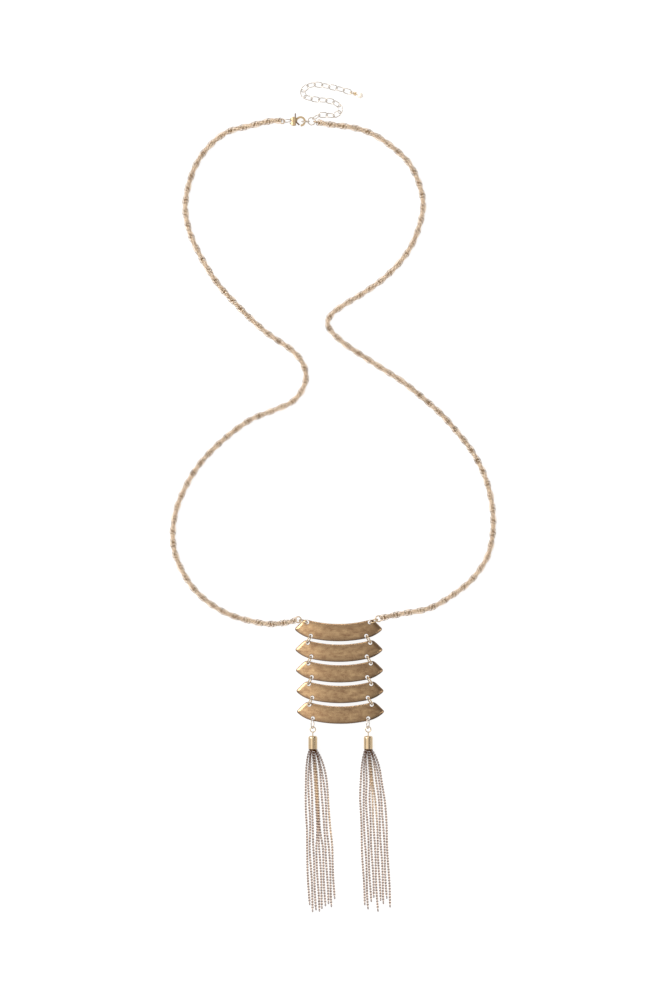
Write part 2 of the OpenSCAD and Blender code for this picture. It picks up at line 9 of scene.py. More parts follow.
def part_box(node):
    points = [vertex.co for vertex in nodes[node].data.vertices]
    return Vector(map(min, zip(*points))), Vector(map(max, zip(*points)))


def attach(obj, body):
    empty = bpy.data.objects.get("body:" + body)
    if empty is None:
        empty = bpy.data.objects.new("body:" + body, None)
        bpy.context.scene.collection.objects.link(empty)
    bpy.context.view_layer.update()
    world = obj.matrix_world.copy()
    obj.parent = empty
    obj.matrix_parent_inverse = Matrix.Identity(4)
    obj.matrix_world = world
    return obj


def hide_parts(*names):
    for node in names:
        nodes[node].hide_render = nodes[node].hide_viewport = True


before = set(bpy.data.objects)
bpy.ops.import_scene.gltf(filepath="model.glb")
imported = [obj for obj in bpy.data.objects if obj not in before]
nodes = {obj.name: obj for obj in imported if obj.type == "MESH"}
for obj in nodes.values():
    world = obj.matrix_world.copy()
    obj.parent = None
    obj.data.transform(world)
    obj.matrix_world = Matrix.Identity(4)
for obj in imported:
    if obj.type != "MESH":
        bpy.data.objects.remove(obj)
scene = bpy.context.scene
mm = 0.001
seed = 5  # of every random draw

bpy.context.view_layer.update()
print("frame loaded:", len(nodes), "nodes")


# Camera, floor and light

camera = {
    "pixel": 0.6 * mm,  # one photograph pixel on the surface
    "frame": (665, 997),
    "centre": (-0.3 * mm, -0.3 * mm),
    "height": 1.8,  # straight above the surface, in metres
    "sensor": 36.0,
    "clip": (0.05, 60),
}
studio = {
    "floorSize": 24.0,
    "floorDrop": 0.03 * mm,
    "floorColor": (0.15, 0.15, 0.15, 1),
    "floorRoughness": 0.9,
    "floorGlow": 0.88,  # a light table: it glows white, so that no shadows show
    # brightness of the sky from the far left (0) to the far right (1), seen from the table: a white
    # wall at the left, a dark gap and a bright card low at the right
    "sky": [
        (0.0, 0.80), (0.17, 1.40), (0.25, 1.65), (0.335, 1.70), (0.37, 0.92), (0.50, 0.76),
        (0.60, 0.88), (0.69, 0.60), (0.76, 0.26), (0.83, 0.14), (0.90, 0.80), (1.0, 0.90),
    ],
    "skyTint": (1.0, 0.985, 0.965, 1),
    "rimHeight": 0.45,  # below this height the sky darkens to the rim's share
    "rimShare": 0.55,
    # place, size and watts; all point at the middle of the table
    "lamps": {
        "leftSoftbox": ((-1.2, 0.5, 1.0), (0.7, 1.0), 16),
        "rightFill": ((1.4, -0.6, 0.9), (0.25, 0.9), 5),
        "topStrip": ((-0.2, 1.5, 0.9), (1.2, 0.25), 6),
    },
}


def addCamera(c):
    data = bpy.data.cameras.new("camera")
    data.sensor_width = c["sensor"]
    data.lens = c["sensor"] * c["height"] / (max(c["frame"]) * c["pixel"])
    data.clip_start, data.clip_end = c["clip"]
    view = bpy.data.objects.new("camera", data)
    view.location = (*c["centre"], c["height"])
    scene.collection.objects.link(view)
    scene.camera = view


def addFloor(s):
    half, z = s["floorSize"] / 2, -s["floorDrop"]
    mesh = bpy.data.meshes.new("floor")
    corners = [(-half, -half, z), (half, -half, z), (half, half, z), (-half, half, z)]
    mesh.from_pydata(corners, [], [(0, 1, 2, 3)])
    floor = bpy.data.objects.new("floor", mesh)
    scene.collection.objects.link(floor)
    material = bpy.data.materials.new("paleFloor")
    material.use_nodes = True
    shader = material.node_tree.nodes["Principled BSDF"]
    shader.inputs["Base Color"].default_value = s["floorColor"]
    shader.inputs["Roughness"].default_value = s["floorRoughness"]
    shader.inputs["Emission Color"].default_value = (1, 1, 1, 1)
    shader.inputs["Emission Strength"].default_value = s["floorGlow"]
    mesh.materials.append(material)


def addLamps(s):
    for name, (place, size, watts) in s["lamps"].items():
        data = bpy.data.lights.new(name, "AREA")
        data.shape = "RECTANGLE"
        data.size, data.size_y = size
        data.energy = watts
        lamp = bpy.data.objects.new(name, data)
        lamp.location = place
        lamp.rotation_euler = (-Vector(place)).to_track_quat("-Z", "Y").to_euler()
        scene.collection.objects.link(lamp)


def addSky(s):
    world = bpy.data.worlds.new("studioSky")
    scene.world = world
    world.use_nodes = True
    tree = world.node_tree
    new, link = tree.nodes.new, tree.links.new
    coords = new("ShaderNodeTexCoord")
    split = new("ShaderNodeSeparateXYZ")
    link(coords.outputs["Generated"], split.inputs[0])
    across = new("ShaderNodeMapRange")
    across.inputs["From Min"].default_value = -1
    link(split.outputs["X"], across.inputs["Value"])
    sky = new("ShaderNodeValToRGB")
    stops = sky.color_ramp.elements
    while len(stops) < len(s["sky"]):
        stops.new(0.5)
    for stop, (place, bright) in zip(stops, s["sky"]):
        stop.position = place
        stop.color = (bright, bright, bright, 1)
    link(across.outputs["Result"], sky.inputs["Fac"])
    rim = new("ShaderNodeMapRange")
    rim.interpolation_type = "SMOOTHSTEP"
    rim.inputs["From Max"].default_value = s["rimHeight"]
    rim.inputs["To Min"].default_value = s["rimShare"]
    link(split.outputs["Z"], rim.inputs["Value"])
    light = new("ShaderNodeMath")
    light.operation = "MULTIPLY"
    link(sky.outputs["Color"], light.inputs[0])
    link(rim.outputs["Result"], light.inputs[1])
    tree.nodes["Background"].inputs["Color"].default_value = s["skyTint"]
    link(light.outputs[0], tree.nodes["Background"].inputs["Strength"])


addCamera(camera)
addFloor(studio)
addLamps(studio)
addSky(studio)
scene.view_settings.view_transform = "Standard"
print("camera, floor and light made")


# Materials

def addSockets(tree, way, kind, *names):
    for name in names:
        tree.interface.new_socket(name, in_out=way, socket_type=kind)


def colorMix(tree, share):
    # The two colour inputs and the colour output of a new mix node
    mix = tree.nodes.new("ShaderNodeMix")
    mix.data_type = "RGBA"
    tree.links.new(share, mix.inputs[0])
    return mix.inputs[6], mix.inputs[7], mix.outputs[2]


def layerValue(tree, name):
    layer = tree.nodes.new("ShaderNodeAttribute")
    layer.attribute_name = name
    return layer.outputs["Fac"]


# detail and stretch of each noise, and the values of it between which a mark comes in
wear = {
    "patches": {"detail": 5, "stretch": (0.5, 1, 1), "range": (0.32, 0.68)},
    "specks": {"detail": 2, "stretch": (1, 1, 1), "range": (0.52, 0.72)},
    "grain": {"detail": 3, "stretch": (0.25, 1, 1)},
    "noiseRoughness": 0.6,
}


def addWearAndShadeGroup(w):
    # Uneven plating: a soft mottle, fine specks and a brushed grain; the dark colour comes in where the
    # tarnish-and-shade layer marks tarnish and painted shade
    tree = bpy.data.node_groups.new("wearAndShadeMetal", "ShaderNodeTree")
    addSockets(tree, "INPUT", "NodeSocketColor", "Light", "Dark", "Shade and tarnish colour")
    addSockets(tree, "INPUT", "NodeSocketFloat", "Patch size", "Patch contrast", "Speck size",
               "Specks", "Smooth", "Rough", "Shade and tarnish")
    addSockets(tree, "OUTPUT", "NodeSocketColor", "Color")
    addSockets(tree, "OUTPUT", "NodeSocketFloat", "Roughness", "Grain")
    new, link = tree.nodes.new, tree.links.new
    given, made = new("NodeGroupInput"), new("NodeGroupOutput")
    coords = new("ShaderNodeTexCoord")

    def noise(kind, sizeName):
        mapping = new("ShaderNodeMapping")
        mapping.inputs["Scale"].default_value = w[kind]["stretch"]
        turnOver = new("ShaderNodeMath")
        turnOver.operation = "DIVIDE"
        turnOver.inputs[0].default_value = 1.0
        link(given.outputs[sizeName], turnOver.inputs[1])
        texture = new("ShaderNodeTexNoise")
        texture.inputs["Detail"].default_value = w[kind]["detail"]
        texture.inputs["Roughness"].default_value = w["noiseRoughness"]
        link(coords.outputs["Object"], mapping.inputs["Vector"])
        link(mapping.outputs["Vector"], texture.inputs["Vector"])
        link(turnOver.outputs[0], texture.inputs["Scale"])
        return texture.outputs["Fac"]

    def marks(kind, sizeName, amountName):
        ramp = new("ShaderNodeMapRange")
        ramp.inputs["From Min"].default_value, ramp.inputs["From Max"].default_value = w[kind]["range"]
        link(noise(kind, sizeName), ramp.inputs["Value"])
        scaled = new("ShaderNodeMath")
        scaled.operation = "MULTIPLY"
        link(ramp.outputs["Result"], scaled.inputs[0])
        link(given.outputs[amountName], scaled.inputs[1])
        return scaled.outputs[0]

    both = new("ShaderNodeMath")
    both.operation = "ADD"
    both.use_clamp = True
    link(marks("patches", "Patch size", "Patch contrast"), both.inputs[0])
    link(marks("specks", "Speck size", "Specks"), both.inputs[1])
    rough = new("ShaderNodeMapRange")
    link(both.outputs[0], rough.inputs["Value"])
    link(given.outputs["Smooth"], rough.inputs["To Min"])
    link(given.outputs["Rough"], rough.inputs["To Max"])
    light, dark, plating = colorMix(tree, both.outputs[0])
    link(given.outputs["Light"], light)
    link(given.outputs["Dark"], dark)
    # the dark colour: tarnish, and painted shade where the layer marks it
    clean, shadeTarnishColor, color = colorMix(tree, given.outputs["Shade and tarnish"])
    link(plating, clean)
    link(given.outputs["Shade and tarnish colour"], shadeTarnishColor)
    link(color, made.inputs["Color"])
    link(rough.outputs["Result"], made.inputs["Roughness"])
    link(noise("grain", "Speck size"), made.inputs["Grain"])
    return tree


wearAndShadeMetal = addWearAndShadeGroup(wear)

# Sizes and bump are in mm. "shadeTarnishColor" is the dark colour where a piece's tarnish-and-shade
# layer marks tarnish and painted shade, "goldSheen" the light colour of a painted golden reflection
# where its gold sheen layer marks it, "edgeTint" that of glancing reflections where it isn't white
finishes = {
    "antiqueBrass": {
        "light": (0.595, 0.390, 0.195), "dark": (0.245, 0.123, 0.052), "shadeTarnishColor": (0.110, 0.058, 0.028),
        "patchSize": 2.2, "patchContrast": 0.85, "speckSize": 0.5, "specks": 0.45,
        "smooth": 0.20, "rough": 0.34, "bump": 0.024, "lacquer": 0.8, "lacquerRoughness": 0.25,
    },
    "champagneGold": {
        "light": (1.000, 0.860, 0.700), "dark": (0.860, 0.670, 0.450), "shadeTarnishColor": (0.240, 0.140, 0.060),
        "edgeTint": (0.80, 0.60, 0.45),
        "patchSize": 4.0, "patchContrast": 0.60, "speckSize": 0.4, "specks": 0.15,
        "smooth": 0.30, "rough": 0.44, "bump": 0.006,
    },
    "claspGold": {
        "light": (0.540, 0.410, 0.250), "dark": (0.400, 0.270, 0.145),
        "patchSize": 2.0, "patchContrast": 0.50, "speckSize": 0.3, "specks": 0.15,
        "smooth": 0.42, "rough": 0.54, "bump": 0.003,
    },
    "polishedGold": {
        "light": (0.635, 0.490, 0.315), "dark": (0.460, 0.310, 0.160),
        "patchSize": 3.0, "patchContrast": 0.30, "speckSize": 0.4, "specks": 0.10,
        "smooth": 0.12, "rough": 0.24, "bump": 0.003,
    },
    "tasselGold": {
        "light": (1.000, 0.790, 0.610), "dark": (0.840, 0.580, 0.400), "shadeTarnishColor": (0.120, 0.042, 0.010),
        "goldSheen": (1.000, 0.740, 0.400), "edgeTint": (0.55, 0.32, 0.20),
        "patchSize": 1.2, "patchContrast": 0.40, "speckSize": 0.4, "specks": 0.10,
        "smooth": 0.36, "rough": 0.50, "bump": 0.004,
    },
    "silveryGold": {
        "light": (0.590, 0.525, 0.460), "dark": (0.420, 0.355, 0.295),
        "patchSize": 1.5, "patchContrast": 0.35, "speckSize": 0.3, "specks": 0.10,
        "smooth": 0.26, "rough": 0.38, "bump": 0.003,
    },
    "darkLever": {
        "light": (0.260, 0.160, 0.100), "dark": (0.110, 0.065, 0.040),
        "patchSize": 1.0, "patchContrast": 0.50, "speckSize": 0.3, "specks": 0.20,
        "smooth": 0.20, "rough": 0.34, "bump": 0.003,
    },
}


def addMetal(name, f):
    material = bpy.data.materials.new(name)
    material.use_nodes = True
    tree = material.node_tree
    new, link = tree.nodes.new, tree.links.new
    shader = tree.nodes["Principled BSDF"]
    shader.inputs["Metallic"].default_value = 1.0
    if "edgeTint" in f:
        shader.inputs["Specular Tint"].default_value = (*f["edgeTint"], 1)
    if "lacquer" in f:
        shader.inputs["Coat Weight"].default_value = f["lacquer"]
        shader.inputs["Coat Roughness"].default_value = f["lacquerRoughness"]
    wearAndShade = new("ShaderNodeGroup")
    wearAndShade.node_tree = wearAndShadeMetal
    values = {
        "Light": (*f["light"], 1),
        "Dark": (*f["dark"], 1),
        "Patch size": f["patchSize"] * mm,
        "Patch contrast": f["patchContrast"],
        "Speck size": f["speckSize"] * mm,
        "Specks": f["specks"],
        "Smooth": f["smooth"],
        "Rough": f["rough"],
    }
    for label, value in values.items():
        wearAndShade.inputs[label].default_value = value
    # the tarnish-and-shade layer mixes in the dark colour: painted shade in the rope's core, in the
    # tassel links, below the caps and along the plates' edges, and tarnish on some links and on the
    # eyes
    if "shadeTarnishColor" in f:
        wearAndShade.inputs["Shade and tarnish colour"].default_value = (*f["shadeTarnishColor"], 1)
        link(layerValue(tree, "tarnishAndShade"), wearAndShade.inputs["Shade and tarnish"])
    # painted golden reflection: the light colour turns golden where the gold sheen layer marks the
    # strands
    if "goldSheen" in f:
        plain, gold, sheenLight = colorMix(tree, layerValue(tree, "goldSheen"))
        plain.default_value, gold.default_value = (*f["light"], 1), (*f["goldSheen"], 1)
        link(sheenLight, wearAndShade.inputs["Light"])
    bump = new("ShaderNodeBump")
    bump.inputs["Distance"].default_value = f["bump"] * mm
    link(wearAndShade.outputs["Color"], shader.inputs["Base Color"])
    link(wearAndShade.outputs["Roughness"], shader.inputs["Roughness"])
    link(wearAndShade.outputs["Grain"], bump.inputs["Height"])
    link(bump.outputs["Normal"], shader.inputs["Normal"])
    return material


metals = {name: addMetal(name, f) for name, f in finishes.items()}

pearlLook = {
    "cloudSize": 1.5,  # in mm
    "colors": [(0.74, 0.62, 0.50, 1), (0.90, 0.84, 0.76, 1)],
    "roughness": 0.22,
    "lacquer": 0.5,
}


def addPearl(p):
    material = bpy.data.materials.new("pearlBead")
    material.use_nodes = True
    tree = material.node_tree
    new, link = tree.nodes.new, tree.links.new
    shader = tree.nodes["Principled BSDF"]
    shader.inputs["Roughness"].default_value = p["roughness"]
    shader.inputs["Coat Weight"].default_value = p["lacquer"]
    coords = new("ShaderNodeTexCoord")
    cloud = new("ShaderNodeTexNoise")
    cloud.inputs["Scale"].default_value = 1 / (p["cloudSize"] * mm)
    ramp = new("ShaderNodeValToRGB")
    for stop, color in zip(ramp.color_ramp.elements, p["colors"]):
        stop.color = color
    link(coords.outputs["Object"], cloud.inputs["Vector"])
    link(cloud.outputs["Fac"], ramp.inputs["Fac"])
    link(ramp.outputs["Color"], shader.inputs["Base Color"])
    return material


pearl = addPearl(pearlLook)
print("materials made:", len(metals) + 1)


# Chains: one Geometry Nodes tree lays links along a line

def addLinkTree():
    tree = bpy.data.node_groups.new("linksAlongLine", "GeometryNodeTree")
    addSockets(tree, "INPUT", "NodeSocketGeometry", "Geometry")
    addSockets(tree, "INPUT", "NodeSocketFloat", "Half length", "Half width", "Wire radius", "Pitch",
               "First turn", "Turn", "Tilt", "Offset", "Core radius", "Bright radius",
               "Core tarnish", "Outer tarnish")
    addSockets(tree, "INPUT", "NodeSocketInt", "Link sides", "Wire sides")
    addSockets(tree, "INPUT", "NodeSocketVector", "Reach axes")
    addSockets(tree, "INPUT", "NodeSocketMaterial", "Material")
    addSockets(tree, "OUTPUT", "NodeSocketGeometry", "Geometry")
    new, link = tree.nodes.new, tree.links.new
    given, made = new("NodeGroupInput"), new("NodeGroupOutput")

    # One link: an oval of round wire, tilted and set to one side of the line
    oval = new("GeometryNodeCurvePrimitiveCircle")
    oval.inputs["Radius"].default_value = 1.0
    link(given.outputs["Link sides"], oval.inputs["Resolution"])
    size = new("ShaderNodeCombineXYZ")
    link(given.outputs["Half width"], size.inputs["X"])
    link(given.outputs["Half length"], size.inputs["Y"])
    size.inputs["Z"].default_value = 1.0
    stretched = new("GeometryNodeTransform")
    link(oval.outputs["Curve"], stretched.inputs["Geometry"])
    link(size.outputs[0], stretched.inputs["Scale"])
    tilt = new("ShaderNodeCombineXYZ")
    link(given.outputs["Tilt"], tilt.inputs["X"])
    aside = new("ShaderNodeCombineXYZ")
    link(given.outputs["Offset"], aside.inputs["X"])
    placed = new("GeometryNodeTransform")
    link(stretched.outputs[0], placed.inputs["Geometry"])
    link(tilt.outputs[0], placed.inputs["Rotation"])
    link(aside.outputs[0], placed.inputs["Translation"])
    wire = new("GeometryNodeCurvePrimitiveCircle")
    link(given.outputs["Wire sides"], wire.inputs["Resolution"])
    link(given.outputs["Wire radius"], wire.inputs["Radius"])
    linkMesh = new("GeometryNodeCurveToMesh")
    link(placed.outputs[0], linkMesh.inputs["Curve"])
    link(wire.outputs["Curve"], linkMesh.inputs["Profile Curve"])

    # A darkening runs from the link's middle to its outside, measured along the chosen axes: painted
    # shade in the rope's core and where the tassel links pass through each other
    place = new("GeometryNodeInputPosition")
    flatten = new("ShaderNodeVectorMath")
    flatten.operation = "MULTIPLY"
    link(given.outputs["Reach axes"], flatten.inputs[1])
    link(place.outputs[0], flatten.inputs[0])
    reach = new("ShaderNodeVectorMath")
    reach.operation = "LENGTH"
    link(flatten.outputs[0], reach.inputs[0])
    tarnishAndShade = new("ShaderNodeMapRange")
    link(reach.outputs["Value"], tarnishAndShade.inputs["Value"])
    link(given.outputs["Core radius"], tarnishAndShade.inputs["From Min"])
    link(given.outputs["Bright radius"], tarnishAndShade.inputs["From Max"])
    link(given.outputs["Core tarnish"], tarnishAndShade.inputs["To Min"])
    link(given.outputs["Outer tarnish"], tarnishAndShade.inputs["To Max"])
    marked = new("GeometryNodeStoreNamedAttribute")
    marked.data_type = "FLOAT"
    marked.domain = "POINT"
    marked.inputs["Name"].default_value = "tarnishAndShade"
    link(linkMesh.outputs[0], marked.inputs["Geometry"])
    link(tarnishAndShade.outputs["Result"], marked.inputs["Value"])

    # The line, cut into even steps, with its normals kept upright
    line = new("GeometryNodeMeshToCurve")
    link(given.outputs["Geometry"], line.inputs["Mesh"])
    upright = new("GeometryNodeSetCurveNormal")
    upright.mode = "Z_UP"
    link(line.outputs[0], upright.inputs["Curve"])
    points = new("GeometryNodeCurveToPoints")
    points.mode = "LENGTH"
    link(upright.outputs[0], points.inputs["Curve"])
    link(given.outputs["Pitch"], points.inputs["Length"])

    # Each link turns on from the one before it
    index = new("GeometryNodeInputIndex")
    turned = new("ShaderNodeMath")
    turned.operation = "MULTIPLY_ADD"
    link(index.outputs[0], turned.inputs[0])
    link(given.outputs["Turn"], turned.inputs[1])
    link(given.outputs["First turn"], turned.inputs[2])
    spin = new("FunctionNodeAxisAngleToRotation")
    spin.inputs["Axis"].default_value = (0, 0, 1)
    link(turned.outputs[0], spin.inputs["Angle"])
    facing = new("FunctionNodeRotateRotation")
    facing.rotation_space = "LOCAL"
    link(points.outputs["Rotation"], facing.inputs["Rotation"])
    link(spin.outputs[0], facing.inputs["Rotate By"])
    laid = new("GeometryNodeInstanceOnPoints")
    link(points.outputs["Points"], laid.inputs["Points"])
    link(marked.outputs[0], laid.inputs["Instance"])
    link(facing.outputs[0], laid.inputs["Rotation"])
    real = new("GeometryNodeRealizeInstances")
    link(laid.outputs[0], real.inputs[0])
    finish = new("GeometryNodeSetMaterial")
    link(real.outputs[0], finish.inputs["Geometry"])
    link(given.outputs["Material"], finish.inputs["Material"])
    link(finish.outputs[0], made.inputs[0])
    return tree


linkTree = addLinkTree()


def addPiece(name, mesh):
    piece = bpy.data.objects.new(name, mesh)
    scene.collection.objects.link(piece)
    return piece


def chainMesh(name, lines, values, material):
    # Runs the tree on the lines and keeps only the finished mesh
    mesh = bpy.data.meshes.new(name)
    points, edges = [], []
    for line in lines:
        start = len(points)
        points += [tuple(p) for p in line]
        edges += [(start + i, start + i + 1) for i in range(len(line) - 1)]
    mesh.from_pydata(points, edges, [])
    piece = addPiece(name, mesh)
    modifier = piece.modifiers.new("links", "NODES")
    modifier.node_group = linkTree
    sockets = {s.name: s.identifier for s in linkTree.interface.items_tree if s.in_out == "INPUT"}
    for label, value in {**values, "Material": material}.items():
        modifier[sockets[label]] = value
    shown = piece.evaluated_get(bpy.context.evaluated_depsgraph_get())
    piece.data = bpy.data.meshes.new_from_object(shown)
    piece.modifiers.remove(modifier)
    piece.data.shade_smooth()
    return piece


def readLayer(mesh, name):
    values = np.empty(len(mesh.vertices), dtype=np.float32)
    mesh.attributes[name].data.foreach_get("value", values)
    return values


def writeLayer(mesh, name, values):
    if name not in mesh.attributes:
        mesh.attributes.new(name, "FLOAT", "POINT")
    mesh.attributes[name].data.foreach_set("value", np.asarray(values, dtype=np.float32))


def vertexPlaces(mesh):
    # In mm
    places = np.empty(len(mesh.vertices) * 3, dtype=np.float32)
    mesh.vertices.foreach_get("co", places)
    return places.reshape(-1, 3) / mm


def joinInto(piece, *others):
    # One mesh with the first piece's finish
    whole = bmesh.new()
    whole.from_mesh(piece.data)
    for other in others:
        whole.from_mesh(other.data)
        bpy.data.objects.remove(other)
    finish = next(m for m in piece.data.materials if m)
    for face in whole.faces:
        face.material_index = 0
    piece.data.materials.clear()
    whole.to_mesh(piece.data)
    whole.free()
    piece.data.materials.append(finish)
    piece.data.shade_smooth()


def mileage(line):
    return np.concatenate([[0], np.cumsum(np.linalg.norm(np.diff(line, axis=0), axis=1))])


def cutLine(line, start, end):
    # The part of a line between two distances along it
    miles = mileage(line)
    places = [start, *(s for s in miles if start < s < end), end]
    return np.stack([np.interp(places, miles, line[:, axis]) for axis in range(3)], axis=1)


# Rope chain: rings through each other's holes, in two strands twisted round each other

ropeChain = {
    # where each side's end eyes are, at the clasp and at the plates, and the route between them, in mm
    "eyes": {"left": ((-30.38, 225.8), (-20.84, -72.90)), "right": ((-10.25, 225.44), (27.25, -72.34))},
    "route": {
        "left": [
            (-37, 226), (-50, 223), (-64, 219), (-75, 210), (-83, 198), (-88, 181), (-88, 168),
            (-83, 152), (-71, 131), (-57, 115), (-41, 100), (-24, 88), (-17, 78), (-17, 68),
            (-24, 58), (-37, 52), (-51, 46), (-69, 32), (-83, 16), (-93, -4), (-96, -22), (-93, -38),
            (-82, -56), (-64, -69), (-43, -75), (-30, -75),
        ],
        "right": [
            (-3, 224), (12, 222), (24, 218), (36, 210), (46, 200), (52, 187), (54, 174), (50, 158),
            (43, 145), (32, 133), (20, 124), (7, 116), (-1, 110), (-3, 103), (5, 94), (18, 85),
            (32, 76), (44, 68), (63, 52), (74, 40), (84, 27), (91, 13), (95, -2), (96, -18),
            (93, -34), (84, -48), (72, -58), (58, -66), (43, -69), (33, -71),
        ],
    },
    "height": 2.0,
    "bendSteps": 10,  # between two points of the route
    "ringRadius": 1.30,  # to the middle of the wire
    "wireRadius": 0.20,
    "aside": 0.50,  # of a ring's middle from the chain's own middle
    "tilt": -45.0,  # of a ring, in degrees
    "pitch": 0.45,  # from one ring to the next
    "twistPitch": 15.0,  # one whole turn of the two strands
    "sides": (14, 5),  # of a ring, and of its wire
    # distance from the chain's middle, and the painted shade there: darkest in the core, where the
    # rings lie in each other's shade
    "core": (0.75, 0.6),
    "outside": (1.35, 0.0),
    # painted shade: dark specks along the chain for the gaps between its rings: one in each stretch,
    # the share of the rings in them, and how dark
    "speckPitch": 1.8,
    "speckJitter": 0.35,
    "speckShare": 0.38,
    "speckDarkness": 1.0,
    # what is left of the painted shade specks and of the painted core shade where one strand lies over
    # the other
    "narrowSpecks": 0.35,
    "narrowShade": 0.45,
    "eyeRadius": {"clasp": 1.35, "plate": 1.75},
    "eyeWire": 0.35,
    "eyeSides": (40, 14),
    "eyeTarnish": 0.6,
}


def bentLine(points, steps):
    # The same smooth curve as the solid's: each stretch bends towards its neighbours
    p = [np.array(q, float) for q in points]
    line = []
    for i in range(len(p) - 1):
        a, b, c, d = p[max(i - 1, 0)], p[i], p[i + 1], p[min(i + 2, len(p) - 1)]
        for k in range(steps):
            t = k / steps
            square = (2 * a - 5 * b + 4 * c - d) * t**2
            cube = (3 * b - a - 3 * c + d) * t**3
            line.append(0.5 * (2 * b + (c - a) * t + square + cube))
    line.append(p[-1])
    return np.array(line)


def markRope(r, mesh):
    # Painted shade: darkest where its two strands lie side by side, with dark specks there, and pale
    # between
    each = r["sides"][0] * r["sides"][1]
    height = vertexPlaces(mesh)[:, 2].reshape(-1, each).mean(axis=1)
    broad = np.clip(1 - ((height - r["height"]) / r["aside"]) ** 2, 0, 1)
    step = np.arange(len(broad)) * r["pitch"] / r["speckPitch"]
    jitter = r["speckJitter"] * np.random.default_rng(seed).random(len(broad))
    speck = r["speckDarkness"] * ((step + jitter) % 1 < r["speckShare"])
    speck *= r["narrowSpecks"] + (1 - r["narrowSpecks"]) * broad
    tarnishAndShade = readLayer(mesh, "tarnishAndShade")
    tarnishAndShade *= np.repeat(r["narrowShade"] + (1 - r["narrowShade"]) * broad, each)
    tarnishAndShade += (1 - tarnishAndShade) * np.repeat(speck, each)
    writeLayer(mesh, "tarnishAndShade", tarnishAndShade)


def addEye(r, centre, end, standingAlong=None):
    # A soldered wire eye, flat unless it stands along the chain
    radius, wire = r["eyeRadius"][end] * mm, r["eyeWire"] * mm
    sides, wireSides = r["eyeSides"]
    ring = bmesh.new()
    rows = []
    for i in range(sides):
        a = 2 * math.pi * i / sides
        row = []
        for k in range(wireSides):
            b = 2 * math.pi * k / wireSides
            out = radius + wire * math.cos(b)
            row.append(ring.verts.new((out * math.cos(a), out * math.sin(a), wire * math.sin(b))))
        rows.append(row)
    for i in range(sides):
        for k in range(wireSides):
            j, m = (i + 1) % sides, (k + 1) % wireSides
            ring.faces.new((rows[i][k], rows[j][k], rows[j][m], rows[i][m]))
    if standingAlong is not None:
        turn = Matrix.Rotation(math.radians(90), 3, Vector(standingAlong).normalized())
        bmesh.ops.rotate(ring, verts=ring.verts, cent=(0, 0, 0), matrix=turn)
    bmesh.ops.translate(ring, verts=ring.verts, vec=centre)
    mesh = bpy.data.meshes.new("eye")
    ring.to_mesh(mesh)
    ring.free()
    writeLayer(mesh, "tarnishAndShade", [r["eyeTarnish"]] * len(mesh.vertices))
    return addPiece("eye", mesh)


def addRopeChain(r, side):
    claspEnd, plateEnd = [np.array([*place, r["height"]]) for place in r["eyes"][side]]
    route = [claspEnd, *[(x, y, r["height"]) for x, y in r["route"][side]], plateEnd]
    line = bentLine(route, r["bendSteps"]) * mm
    line = cutLine(line, r["eyeRadius"]["clasp"] * mm, mileage(line)[-1] - r["eyeRadius"]["plate"] * mm)
    values = {
        "Half length": r["ringRadius"] * mm,
        "Half width": r["ringRadius"] * mm,
        "Wire radius": r["wireRadius"] * mm,
        "Link sides": r["sides"][0],
        "Wire sides": r["sides"][1],
        "Pitch": r["pitch"] * mm,
        "First turn": 0.0,
        "Turn": math.radians(180 + 360 * r["pitch"] / r["twistPitch"]),
        "Tilt": math.radians(r["tilt"]),
        "Offset": r["aside"] * mm,
        "Reach axes": (1.0, 1.0, 0.0),
        "Core radius": r["core"][0] * mm,
        "Bright radius": r["outside"][0] * mm,
        "Core tarnish": r["core"][1],
        "Outer tarnish": r["outside"][1],
    }
    chain = chainMesh(f"rope_rings_{side}", [line], values, metals["champagneGold"])
    markRope(r, chain.data)
    ahead = line[1] - line[0] if side == "right" else None  # that side's eye stands in the end ring
    claspEye = addEye(r, claspEnd * mm, "clasp", ahead)
    plateEye = addEye(r, plateEnd * mm, "plate")
    joinInto(chain, claspEye, plateEye)
    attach(chain, "necklace")
    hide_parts(f"rope_chain_{side}")
    print("rope chain", side, "faces:", len(chain.data.polygons))


for side in ("left", "right"):
    addRopeChain(ropeChain, side)


# Tassels: fine chains along the solid's strands, rings and connectors in turn

